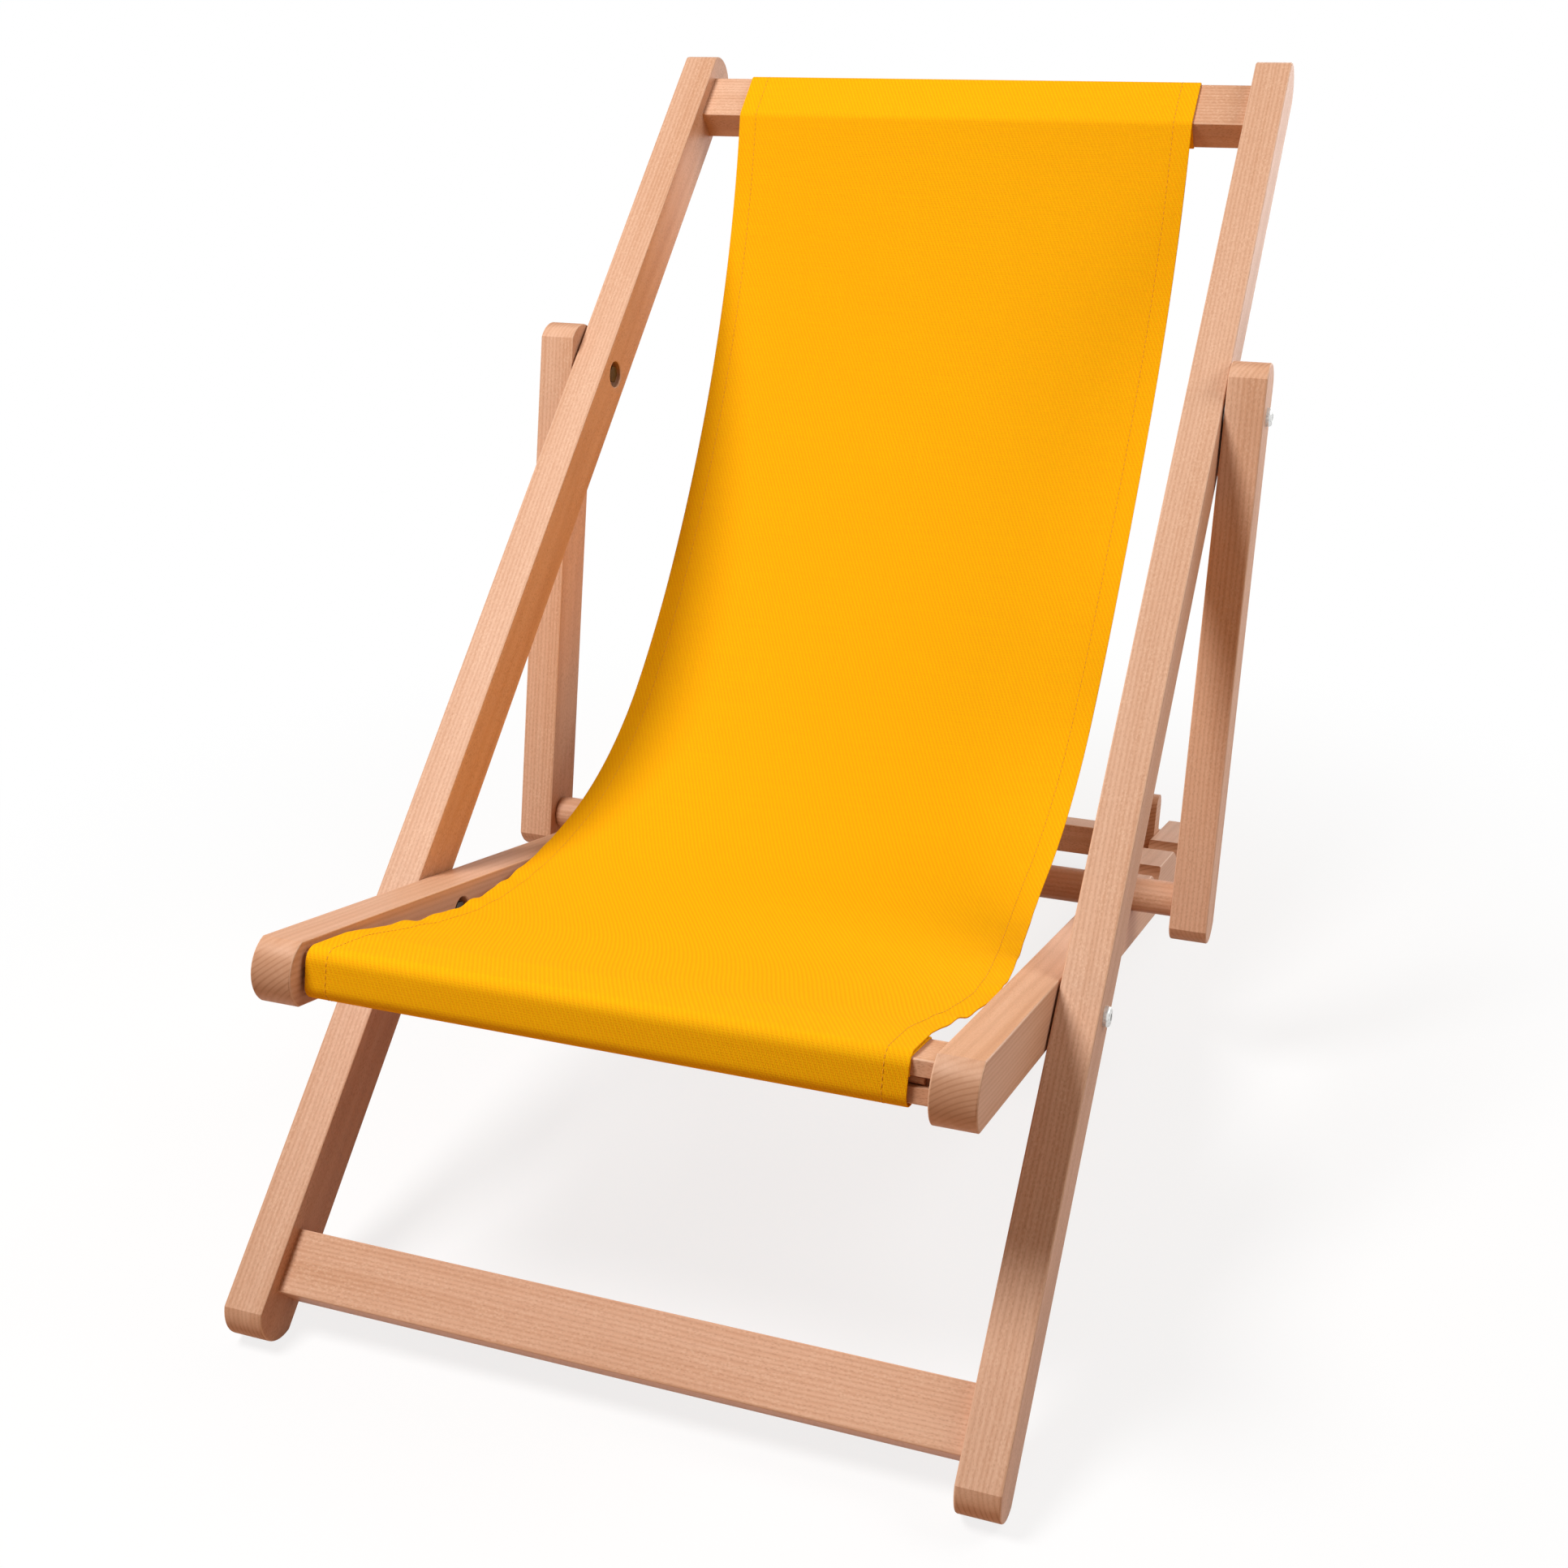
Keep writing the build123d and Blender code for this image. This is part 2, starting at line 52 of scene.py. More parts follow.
# Studio: each lamp has its size, place and aim
ROOM_TINT = (1.0, 0.74, 0.54)
BOUNCE_TINT = (0.64, 0.41, 0.27)
PAPER = (0.95, 0.95, 0.95, 1)
WHITE = (1, 1, 1, 1)
FLOOR_REACH = 30.0
SHADOW_FROM = 0.35
SHADOW_TO = 1.1
SHADOW_SHARE = 0.2
KEY_LAMP = (0.85, (-0.86, -0.88, 2.12), (0.0, 0.0, 0.35))
FILL_LAMP = (1.0, (1.5, 0.35, 1.6), (-0.1, 0.0, 0.4))
REAR_LAMP = (1.4, (0.7, 2.0, 0.75), (0.0, 0.0, 0.3))
CAMERA_PLACE = (0.47055, -1.34786, 0.92555)
CAMERA_TURN = (64.993, 1.195, 19.807)
SENSOR_WIDTH = 36.0

BACK_BARS = ("back_stile_left", "back_stile_right")
SEAT_BARS = ("seat_stile_left", "seat_stile_right", "bar_stop_left", "bar_stop_right")
PROP_BARS = ("prop_left", "prop_right")
BACK_RAILS = ("top_rail", "bottom_rail")
SEAT_RAILS = ("front_rail", "rear_rail")
ROUND_STOCK = (
    "prop_bar",
    "top_fabric_rod",
    "front_fabric_rod",
    "top_rail_dowels",
    "bottom_rail_dowels",
    "front_rail_dowels",
    "rear_rail_dowels",
)
HARDWARE = ("seat_pivot_washers", "prop_pivot_washers", "bar_nails", "stop_screws")
BOLTS_AND_NUTS = (("seat_pivot_bolts", "seat_pivot_nuts"), ("prop_pivot_bolts", "prop_pivot_nuts"))

# Section of the slotted rails
RAIL_HALF_WIDTH = 0.0225
RAIL_HALF_THICK = 0.014
WOOD_EDGE = 0.0013
SLOT_HALF = 0.0035

# Cloth on the rails: its way inside the slot, and its gap to the wood
SLOT_TUCK = (0.0034, 0.0008)
CLOTH_GAP = 0.0003

# Parts of the free span over which the cloth moves sideways
TO_SEAT_SHIFT = (0.0, 0.12)
TO_BACK_SHIFT = (0.12, 0.32)
TO_TOP_SHIFT = (0.6, 1.0)

# Waves of the hems behind the front rail
PUCKER_LONG = 0.047
PUCKER_SHORT = 0.029
PUCKER_REACH = 0.014
PUCKER_STARTS = (0.004, 0.05)
PUCKER_ENDS = (0.17, 0.36)

# Columns of the sling's mesh near its edges, measured in from the fold
HEM_PLACES = (0.0004, 0.0025, 0.006, 0.0095, 0.0125, 0.0142, 0.015, 0.0158, 0.0175, 0.0195, 0.0225)

# Sewing: each ring of a stitch has a place along it, a share of the thread's radius and a height in radii
STITCH_INSET = 0.0153
STITCH_RADIUS = 0.00026
STITCH_SIDES = 6
STITCH_REACH = 0.085
STITCH_DIMPLE = 0.00007
STITCH_DIMPLE_WIDTH = 0.0009
STITCH_RINGS = ((-1, 0.35, -0.6), (-0.6, 0.9, 0.25), (0, 1, 0.5), (0.6, 0.9, 0.25), (1, 0.35, -0.6))


class BeechLook(bpy.types.PropertyGroup):
    """Colours and figure of the planed beech."""

    pale: bpy.props.FloatVectorProperty(
        name="Pale wood",
        description="Colour of the lightest growth",
        subtype="COLOR",
        default=(0.72, 0.435, 0.292),
    )
    deep: bpy.props.FloatVectorProperty(
        name="Pink wood",
        description="Colour of the pinker growth",
        subtype="COLOR",
        default=(0.585, 0.302, 0.172),
    )
    dash: bpy.props.FloatVectorProperty(
        name="Ray dashes",
        description="Colour of the short dark dashes along the grain",
        subtype="COLOR",
        default=(0.33, 0.135, 0.06),
    )
    # The ray fleck colour also serves as the painted highlight along the edges.
    fleck_and_highlight: bpy.props.FloatVectorProperty(
        name="Ray flecks",
        description="Colour of the silvery flecks on quartered faces",
        subtype="COLOR",
        default=(0.83, 0.56, 0.39),
    )
    end: bpy.props.FloatVectorProperty(
        name="End grain",
        description="Colour of the cut ends",
        subtype="COLOR",
        default=(0.44, 0.215, 0.115),
    )
    ring: bpy.props.FloatProperty(
        name="Ring spacing",
        description="Width of one year's growth",
        subtype="DISTANCE",
        default=0.0034,
    )
    pith: bpy.props.FloatProperty(
        name="Pith distance",
        description="Distance from a bar to the middle of its tree",
        subtype="DISTANCE",
        default=0.075,
    )
    gloss: bpy.props.FloatProperty(
        name="Roughness",
        description="Roughness of the sanded and oiled faces",
        subtype="FACTOR",
        default=0.44,
    )


class SteelLook(bpy.types.PropertyGroup):
    """Finish of the zinc-plated hardware."""

    zinc: bpy.props.FloatVectorProperty(
        name="Zinc",
        description="Colour of the bright plating",
        subtype="COLOR",
        default=(0.74, 0.74, 0.72),
    )
    dull: bpy.props.FloatVectorProperty(
        name="Dull zinc",
        description="Colour where the plating has greyed",
        subtype="COLOR",
        default=(0.5, 0.5, 0.49),
    )
    # Painted shade: the dark colour of the nuts and of the bolt ends within them stands for the shade in
    # their recesses.
    shaded: bpy.props.FloatVectorProperty(
        name="Oiled zinc",
        description="Colour of the nuts and bolt ends, dark with oil in their recesses",
        subtype="COLOR",
        default=(0.075, 0.055, 0.042),
    )


class SlingCut(bpy.types.PropertyGroup):
    """Cut, sewing and hang of the canvas sling."""

    width: bpy.props.FloatProperty(
        name="Width",
        description="Finished width between the folded edges",
        subtype="DISTANCE",
        default=0.408,
    )
    hem: bpy.props.FloatProperty(
        name="Hem",
        description="Width of cloth turned under at each side",
        subtype="DISTANCE",
        default=0.0185,
    )
    cloth: bpy.props.FloatProperty(
        name="Cloth thickness",
        description="Thickness of one layer of canvas",
        subtype="DISTANCE",
        default=0.0005,
    )
    sag_up: bpy.props.FloatProperty(
        name="Sag place",
        description="Lowest point of the sling, measured up the back from the seat pivot",
        subtype="DISTANCE",
        default=0.3,
    )
    sag_depth: bpy.props.FloatProperty(
        name="Sag depth",
        description="Depth of that point behind the line of the back stiles",
        subtype="DISTANCE",
        default=0.153,
    )
    dip: bpy.props.FloatProperty(
        name="Front dip",
        description="Angle at which the sling drops off the front rail",
        subtype="ANGLE",
        default=math.radians(6),
    )
    rise: bpy.props.FloatProperty(
        name="Top rise",
        description="Angle at which the sling climbs to the top rail",
        subtype="ANGLE",
        default=math.radians(38),
    )
    front_roll: bpy.props.FloatProperty(
        name="Front roll",
        description="Radius at which the cloth turns over the front rail",
        subtype="DISTANCE",
        default=0.01,
    )
    top_roll: bpy.props.FloatProperty(
        name="Top roll",
        description="Radius at which the cloth turns over the top rail",
        subtype="DISTANCE",
        default=0.005,
    )
    leave_round: bpy.props.FloatProperty(
        name="Leaving radius",
        description="Radius at which the cloth bends off a rail into the sag",
        subtype="DISTANCE",
        default=0.01,
    )
    twist: bpy.props.FloatProperty(
        name="Uneven sag",
        description="Extra depth of the left edge, and lack of it on the right",
        subtype="DISTANCE",
        default=0.012,
    )
    dish: bpy.props.FloatProperty(
        name="Dish",
        description="Extra depth midway between the hems",
        subtype="DISTANCE",
        default=0.003,
    )
    pucker: bpy.props.FloatProperty(
        name="Pucker",
        description="Height of the waves along the hems near the front rail",
        subtype="DISTANCE",
        default=0.0009,
    )
    front_shift: bpy.props.FloatProperty(
        name="Front shift",
        description="Sideways place of the sling on the front rail",
        subtype="DISTANCE",
        default=-0.0065,
    )
    seat_shift: bpy.props.FloatProperty(
        name="Seat shift",
        description="Sideways place of the sling just behind the front rail",
        subtype="DISTANCE",
        default=0.006,
    )
    back_shift: bpy.props.FloatProperty(
        name="Back shift",
        description="Sideways place of the sling where it sags most",
        subtype="DISTANCE",
        default=-0.008,
    )
    top_shift: bpy.props.FloatProperty(
        name="Top shift",
        description="Sideways place of the sling on the top rail",
        subtype="DISTANCE",
        default=-0.003,
    )
    dye: bpy.props.FloatVectorProperty(
        name="Dye",
        description="Colour of the canvas",
        subtype="COLOR",
        default=(0.98, 0.52, 0.002),
    )
    weft: bpy.props.FloatVectorProperty(
        name="Weft",
        description="Colour of the deeper cross threads",
        subtype="COLOR",
        default=(0.93, 0.4, 0.002),
    )
    # Painted shade: the colour where the threads dip, deep in the weave.
    gap: bpy.props.FloatVectorProperty(
        name="Between threads",
        description="Colour deep in the weave",
        subtype="COLOR",
        default=(0.66, 0.2, 0.002),
    )
    thread_pitch: bpy.props.FloatProperty(
        name="Thread pitch",
        description="Distance from one lengthwise thread to the next",
        subtype="DISTANCE",
        default=0.0008,
    )
    stitch_pitch: bpy.props.FloatProperty(
        name="Stitch pitch",
        description="Distance from one stitch to the next",
        subtype="DISTANCE",
        default=0.0044,
    )
    sewing: bpy.props.FloatVectorProperty(
        name="Sewing thread",
        description="Colour of the sewing thread",
        subtype="COLOR",
        default=(0.86, 0.36, 0.004),
    )


class StageLook(bpy.types.PropertyGroup):
    """Studio light, floor and camera."""

    key: bpy.props.FloatProperty(
        name="Key light",
        description="Power of the main soft light at the upper left",
        subtype="POWER",
        default=46.0,
    )
    fill: bpy.props.FloatProperty(
        name="Fill light",
        description="Power of the weaker light from the right",
        subtype="POWER",
        default=14.0,
    )
    rear: bpy.props.FloatProperty(
        name="Rear light",
        description="Power of the low light behind the chair",
        subtype="POWER",
        default=12.0,
    )
    sky: bpy.props.FloatProperty(
        name="Room light",
        description="Strength of the even light from all sides",
        default=0.17,
    )
    lens: bpy.props.FloatProperty(
        name="Lens",
        description="Focal length of the camera in millimetres, on a 36 mm sensor",
        default=45.142,
    )


class Signal:
    """A shader socket that takes part in Python arithmetic."""

    def __init__(self, graph, socket):
        self.graph = graph
        self.socket = socket

    def __add__(self, other):
        return self.graph.math("ADD", self, other)

    def __radd__(self, other):
        return self.graph.math("ADD", other, self)

    def __sub__(self, other):
        return self.graph.math("SUBTRACT", self, other)

    def __rsub__(self, other):
        return self.graph.math("SUBTRACT", other, self)

    def __mul__(self, other):
        return self.graph.math("MULTIPLY", self, other)

    def __rmul__(self, other):
        return self.graph.math("MULTIPLY", other, self)

    def __pow__(self, other):
        return self.graph.math("POWER", self, other)

    def __abs__(self):
        return self.graph.math("ABSOLUTE", self)


class Graph:
    """The node tree of one material or world."""

    def __init__(self, owner):
        owner.use_nodes = True
        self.tree = owner.node_tree
        self.tree.nodes.clear()

    def node(self, kind, settings=None, sockets=None, out=0):
        """Adds a node with its settings, then its socket values or links, and gives one of its outputs."""
        made = self.tree.nodes.new(kind)
        for key, value in (settings or {}).items():
            setattr(made, key, value)
        for key, value in (sockets or {}).items():
            if isinstance(value, Signal):
                self.tree.links.new(value.socket, made.inputs[key])
            else:
                made.inputs[key].default_value = value
        return Signal(self, made.outputs[out]) if made.outputs else None

    def math(self, operation, *values):
        return self.node("ShaderNodeMath", {"operation": operation}, dict(enumerate(values)))

    def dot(self, vector, axis):
        settings = {"operation": "DOT_PRODUCT"}
        return self.node("ShaderNodeVectorMath", settings, {0: vector, 1: tuple(axis)}, "Value")

    def vector(self, x, y, z):
        return self.node("ShaderNodeCombineXYZ", None, {0: x, 1: y, 2: z})

    def step(self, value, low, high):
        """A smooth step from 0 at low to 1 at high."""
        sockets = {"Value": value, "From Min": low, "From Max": high}
        return self.node("ShaderNodeMapRange", {"interpolation_type": "SMOOTHSTEP"}, sockets)

    def noise(self, vector, detail=2.0):
        sockets = {"Vector": vector, "Scale": 1.0, "Detail": detail}
        return self.node("ShaderNodeTexNoise", None, sockets)

    def cells(self, vector):
        """Distance to the nearest of many scattered points."""
        return self.node("ShaderNodeTexVoronoi", None, {"Vector": vector, "Scale": 1.0}, "Distance")

    def mix(self, share, first, second):
        """A colour between two others."""
        return self.node("ShaderNodeMix", {"data_type": "RGBA"}, {0: share, 6: first, 7: second}, 2)

    def bump(self, height, strength, distance):
        sockets = {"Height": height, "Strength": strength, "Distance": distance}
        return self.node("ShaderNodeBump", None, sockets)

    def shown(self):
        """1 where a surface is looked at, mirrored or seen through, and 0 where it only gives light."""
        seen = self.node("ShaderNodeLightPath", None, None, "Is Camera Ray")
        mirrored = self.node("ShaderNodeLightPath", None, None, "Is Glossy Ray")
        through = self.node("ShaderNodeLightPath", None, None, "Is Transmission Ray")
        return self.math("MAXIMUM", self.math("MAXIMUM", seen, mirrored), through)

    def finish(self, sockets):
        """The surface shader, with its varying and constant sockets, and the output."""
        surface = self.node("ShaderNodeBsdfPrincipled", None, sockets)
        self.node("ShaderNodeOutputMaterial", None, {"Surface": surface})


def solid(colour):
    """A colour with its alpha."""
    return (*colour, 1.0)


def middle(node):
    """Middle of a node's box."""
    low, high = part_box(node)
    return (np.array(low) + np.array(high)) / 2


def unit(vector):
    return vector / np.linalg.norm(vector)


def smooth(value, low, high):
    """A smooth step from 0 at low to 1 at high."""
    share = np.clip((value - low) / (high - low), 0.0, 1.0)
    return share * share * (3 - 2 * share)


def square_to(direction):
    """The direction turned a quarter turn about X, out of the upper side of a bar that runs to the rear."""
    return np.array((0.0, -direction[2], direction[1]))


def in_side_view(vector):
    """The direction of a vector as the side view shows it."""
    return unit(np.array((0.0, vector[1], vector[2])))


back_along = in_side_view(middle("top_rail") - middle("bottom_rail"))
seat_along = in_side_view(middle("rear_rail") - middle("front_rail"))
prop_along = in_side_view(middle("prop_bar") - middle("prop_pivot_bolts"))
back_out = square_to(back_along)
seat_out = square_to(seat_along)


def beech(node, grain, radial, edges, look):
    """Beech cut from its own place in the tree: rings, rays and fibres in three dimensions."""
    luck = np.random.default_rng(sum(ord(letter) * (i + 3) for i, letter in enumerate(node)))
    shade = 1.0 + luck.uniform(-0.05, 0.05)
    offset = luck.uniform(-4.0, 4.0, 3)
    centre = middle(node)
    tangent = np.cross(grain, radial)
    pith = look.pith * luck.uniform(0.8, 1.4)
    drift = luck.uniform(-0.02, 0.02)
    material = bpy.data.materials.new(f"beech_{node}")
    graph = Graph(material)
    place = graph.node("ShaderNodeTexCoord", None, None, "Object")
    facing = graph.node("ShaderNodeTexCoord", None, None, "Normal")
    along = graph.dot(place, grain)
    out = graph.dot(place, radial) + float(pith - centre @ radial)
    side = graph.dot(place, tangent) + float(drift - centre @ tangent)
    end_face = graph.step(abs(graph.dot(facing, grain)), 0.75, 0.97)
    slab_face = graph.dot(facing, radial)
    slab_face = slab_face * slab_face
    quarter_face = graph.dot(facing, tangent)
    quarter_face = quarter_face * quarter_face
    # Broad colour
    broad_place = graph.vector(along * 1.3 + offset[0], out * 24.0 + offset[1], side * 24.0 + offset[2])
    broad = graph.step(graph.noise(broad_place, 3.0), 0.3, 0.72)
    # Growth rings about the pith
    wander_place = graph.vector(along * 2.2 + offset[1], out * 9.0 + offset[2], side * 9.0 + offset[0])
    wander = graph.noise(wander_place, 2.0) * 0.016
    radius = (out * out + side * side) ** 0.5 + wander
    uneven = graph.noise(graph.vector(radius * 130.0, offset[0], offset[1]), 1.0) * 5.0
    turn = graph.math("SINE", radius * (2 * math.pi / look.ring) + uneven)
    ring = graph.step(turn, 0.0, 1.0) ** 2.0
    spring = graph.step(turn, -0.3, -1.0)
    # Fibres along the grain
    fibre_place = graph.vector(along * 42.0 + offset[2], out * 820.0, side * 820.0)
    fibre = graph.noise(fibre_place, 2.0)
    streak_place = graph.vector(along * 5.0 + offset[1], out * 190.0, side * 190.0)
    streak = graph.step(graph.noise(streak_place, 2.0), 0.35, 0.7)
    # Rays: thin blades that run out from the pith
    ray_place = graph.vector(along * 360.0 + offset[0], side * 1250.0, out * 560.0)
    crowd_place = graph.vector(along * 28.0, out * 120.0 + offset[0], side * 120.0 + offset[1])
    crowd = graph.step(graph.noise(crowd_place, 2.0), 0.3, 0.7)
    ray = graph.step(graph.cells(ray_place), 0.55, 0.2) * (crowd * 0.6 + 0.4)
    speck_place = graph.vector(along * 310.0 + offset[1], side * 900.0 + offset[2], out * 760.0)
    speck = graph.step(graph.cells(speck_place), 0.42, 0.15) * (1 - ray)
    # Painted highlight along the sanded edges
    edge_highlight = graph.dot(facing, edges)
    edge_highlight = edge_highlight * edge_highlight
    edge_highlight = graph.step(edge_highlight * (1 - edge_highlight) * 4.0, 0.25, 0.9) * (1 - end_face)
    pale = [shade * value for value in look.pale]
    deep = [shade * value for value in look.deep]
    colour = graph.mix(broad * 0.75 + streak * 0.25, solid(pale), solid(deep))
    colour = graph.mix(ring * (end_face * 0.3 + quarter_face * 0.08 + 0.1), colour, solid(look.dash))
    colour = graph.mix(spring * (1 - end_face) * (quarter_face * 0.14 + 0.06), colour, solid(look.fleck_and_highlight))
    colour = graph.mix((fibre - 0.35) * 0.4, colour, solid(deep))
    colour = graph.mix(ray * slab_face * 0.5, colour, solid(look.dash))
    colour = graph.mix(ray * quarter_face * 0.34, colour, solid(look.fleck_and_highlight))
    colour = graph.mix(speck * quarter_face * 0.22, colour, solid(look.dash))
    colour = graph.mix(end_face * (0.45 + ring * 0.25), colour, solid(look.end))
    # Painted highlight: the edges are mixed towards the pale fleck colour.
    colour = graph.mix(edge_highlight * 0.5, colour, solid(look.fleck_and_highlight))
    relief = fibre * 0.5 - ray * slab_face * 0.6 + ray * quarter_face * 0.12 - ring * 0.15
    graph.finish(
        {
            "Base Color": colour,
            "Roughness": look.gloss + fibre * 0.12 + end_face * 0.16 - edge_highlight * 0.08,
            "Normal": graph.bump(relief, 0.35, 0.00016),
            "Specular IOR Level": 0.2,
        }
    )
    return material


def zinc_steel(name, look, shade_within=0.0):
    """Zinc plating with fine scratches and greyed patches, and painted shade near the chair's middle."""
    material = bpy.data.materials.new(name)
    graph = Graph(material)
    place = graph.node("ShaderNodeTexCoord", None, None, "Object")
    patch_sockets = {"Vector": place, "Scale": 420.0, "Detail": 3.0}
    patch = graph.step(graph.node("ShaderNodeTexNoise", None, patch_sockets), 0.42, 0.68)
    across = graph.dot(place, ACROSS)
    scratch_place = graph.vector(across * 900.0, graph.dot(place, back_along) * 9000.0, 0.0)
    scratch = graph.noise(scratch_place, 1.0)
    # Painted shade on the nuts and bolt ends near the chair's middle, where they sit deep in their
    # recesses.
    unshaded = graph.step(abs(across), shade_within, shade_within + 0.001)
    plating = graph.mix(patch, solid(look.zinc), solid(look.dull))
    graph.finish(
        {
            "Base Color": graph.mix(unshaded, solid(look.shaded), plating),
            "Metallic": 1.0,
            "Roughness": 0.36 + patch * 0.16 + scratch * 0.1 - unshaded * 0.12,
            "Normal": graph.bump(scratch + patch * 0.6, 0.25, 0.00006),
        }
    )
    return material


def canvas(cut):
    """Dyed canvas in a steep twill: single threads, slubs, slight fading and painted shade between the
    threads.
    """
    material = bpy.data.materials.new("canvas")
    graph = Graph(material)
    cloth = graph.node("ShaderNodeUVMap", {"uv_map": "cloth"})
    across = graph.dot(cloth, (1.0, 0.0, 0.0))
    along = graph.dot(cloth, (0.0, 1.0, 0.0))
    slub = graph.noise(graph.vector(across * 90.0, along * 40.0, 0.0), 2.0) * 0.8
    # Lengthwise threads pass over two cross threads and under two, each a step later than its neighbour
    warp_count = across * (1 / cut.thread_pitch) + slub
    weft_count = along * (0.5 / cut.thread_pitch) + slub * 0.5
    rise = graph.math("SINE", (weft_count + graph.math("FLOOR", warp_count)) * (math.pi / 2))
    warp_side = graph.math("FRACT", warp_count) * 2 - 1
    weft_side = graph.math("FRACT", weft_count) * 2 - 1
    warp_top = (1 - warp_side * warp_side) ** 0.5 * (rise * 0.45 + 0.55)
    weft_top = (1 - weft_side * weft_side) ** 0.5 * (0.5 - rise * 0.4)
    crown = graph.math("MAXIMUM", warp_top, weft_top)
    over = graph.step(warp_top - weft_top, -0.2, 0.2)
    warp_tone = graph.noise(graph.vector(across * 1250.0, along * 14.0, 0.0), 1.0)
    weft_tone = graph.noise(graph.vector(across * 14.0, along * 620.0, 3.0), 1.0)
    tone = graph.step(warp_tone * over + weft_tone * (1 - over), 0.3, 0.75)
    wear = graph.step(graph.noise(graph.vector(across * 7.0, along * 5.0, 0.0), 3.0), 0.3, 0.75)
    colour = graph.mix(over * 0.7 + tone * 0.3, solid(cut.weft), solid(cut.dye))
    # Painted shade: where the threads dip, deep in the weave, the colour goes darker.
    colour = graph.mix(graph.step(crown, 0.62, 0.2) * 0.6, colour, solid(cut.gap))
    colour = graph.mix(wear * 0.16, colour, solid(cut.weft))
    graph.finish(
        {
            "Base Color": colour,
            "Roughness": 0.8 + tone * 0.1,
            "Normal": graph.bump(crown + tone * 0.2, 0.7, 0.00032),
            "Specular IOR Level": 0.06,
        }
    )
    return material


def sewing_thread(cut):
    """Twisted sewing thread, with painted shade in the grooves between its plies."""
    material = bpy.data.materials.new("sewing_thread")
    graph = Graph(material)
    cloth = graph.node("ShaderNodeUVMap", {"uv_map": "cloth"})
    turns = graph.dot(cloth, (1.0, 0.0, 0.0)) * 12.6 + graph.dot(cloth, (0.0, 1.0, 0.0)) * 25.0
    ply = graph.math("SINE", turns) * 0.5 + 0.5
    # Painted shade: the darker colour follows the grooves between the plies.
    dark = [value * 0.75 for value in cut.sewing]
    graph.finish(
        {
            "Base Color": graph.mix(ply, solid(dark), solid(cut.sewing)),
            "Roughness": 0.55 + ply * 0.15,
            "Normal": graph.bump(ply, 0.5, 0.0001),
        }
    )
    return material


def dress(node, material):
    """Gives a node its material in every slot."""
    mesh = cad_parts[node].data
    mesh.materials.clear()
    mesh.materials.append(material)


def turn_steps(start, end, count):
    """Normals that turn from one angle to another, in the rail's own two directions."""
    angles = np.linspace(start, end, count)
    return [(math.cos(angle), math.sin(angle)) for angle in angles]


def rail_trail(roll, leave_round, leave_turn):
    """Cloth's way from inside a rail's slot, once round the rail, and off over the edge that faces the sag.

    Each step has a point on the wood, the way out of it, and how far the cloth is from its first layer to
    its second. The first direction points out of the slot, the second out of the face under the sling.
    The second layer turns about wider rounds than the wood's own edges.
    """
    quarter = math.pi / 2
    depths = np.linspace(*SLOT_TUCK, 4)
    steps = [((RAIL_HALF_WIDTH - depth, SLOT_HALF), (0.0, -1.0), 0.0) for depth in depths]
    steps += [((RAIL_HALF_WIDTH, SLOT_HALF), normal, 0.0) for normal in turn_steps(-quarter, 0.0, 5)]
    corner_sides = ((1, 1), (-1, 1), (-1, -1), (1, -1), (1, 1))
    run_steps = (5, 12, 7, 12, 7)
    for lap, ((wide, thick), run) in enumerate(zip(corner_sides, run_steps)):
        second = lap > 2
        radius = roll if second else WOOD_EDGE
        corner = np.array((wide * (RAIL_HALF_WIDTH - radius), thick * (RAIL_HALF_THICK - radius)))
        normals = turn_steps(lap * quarter, (lap + 1) * quarter, 11 if second else 7)
        behind = np.array(steps[-1][0])
        ahead = corner + radius * np.array(normals[0])
        for share in np.linspace(0.0, 1.0, run)[1:-1]:
            climb = smooth(share, 0.0, 1.0) if lap == 3 else float(second)
            steps.append((behind + (ahead - behind) * share, normals[0], climb))
        steps += [(corner + radius * np.array(normal), normal, float(second)) for normal in normals]
    turn_at = leave_round * math.tan(leave_turn / 2) - RAIL_HALF_WIDTH
    for wide in np.linspace(RAIL_HALF_WIDTH - roll, turn_at, 14)[1:-1]:
        steps.append(((wide, RAIL_HALF_THICK), (0.0, 1.0), 1.0))
    centre = np.array((turn_at, RAIL_HALF_THICK - leave_round))
    for normal in turn_steps(quarter, quarter + leave_turn, 11):
        steps.append((centre + leave_round * np.array(normal), normal, 1.0))
    return steps


def laid_trail(rail, out_of_slot, out_of_face, roll, leave_turn, cut):
    """A rail's trail in the side view: points of the cloth's middle and the ways out of the wood."""
    inner = CLOTH_GAP + 1.6 * cut.cloth
    diagonal = math.sqrt(2)
    outer = ((diagonal - 1) * (roll - WOOD_EDGE) + inner + cut.cloth) / diagonal
    centre = middle(rail)
    points = []
    normals = []
    for wood, normal, layer in rail_trail(roll - outer, cut.leave_round - outer, leave_turn):
        away = inner + layer * (outer - inner)
        spot = (wood[0] + normal[0] * away, wood[1] + normal[1] * away)
        points.append(centre + spot[0] * out_of_slot + spot[1] * out_of_face)
        normals.append(normal[0] * out_of_slot + normal[1] * out_of_face)
    flat = np.array((0.0, 1.0, 1.0))
    return np.array(points) * flat, np.array(normals)


def arc_points(start, way, end, count):
    """Points along the arc that leaves start in the given way and ends at end."""
    chord = end - start
    across = square_to(way)
    bend = 2 * (chord @ across) / (chord @ chord)
    sweep = 2 * math.atan2(chord @ across, chord @ way)
    angles = np.linspace(0.0, sweep, count)
    ahead = np.sin(angles) / bend
    aside = (1 - np.cos(angles)) / bend
    points = start + np.outer(ahead, way) + np.outer(aside, across)
    ways = np.outer(np.cos(angles), way) + np.outer(np.sin(angles), across)
    return points, ways


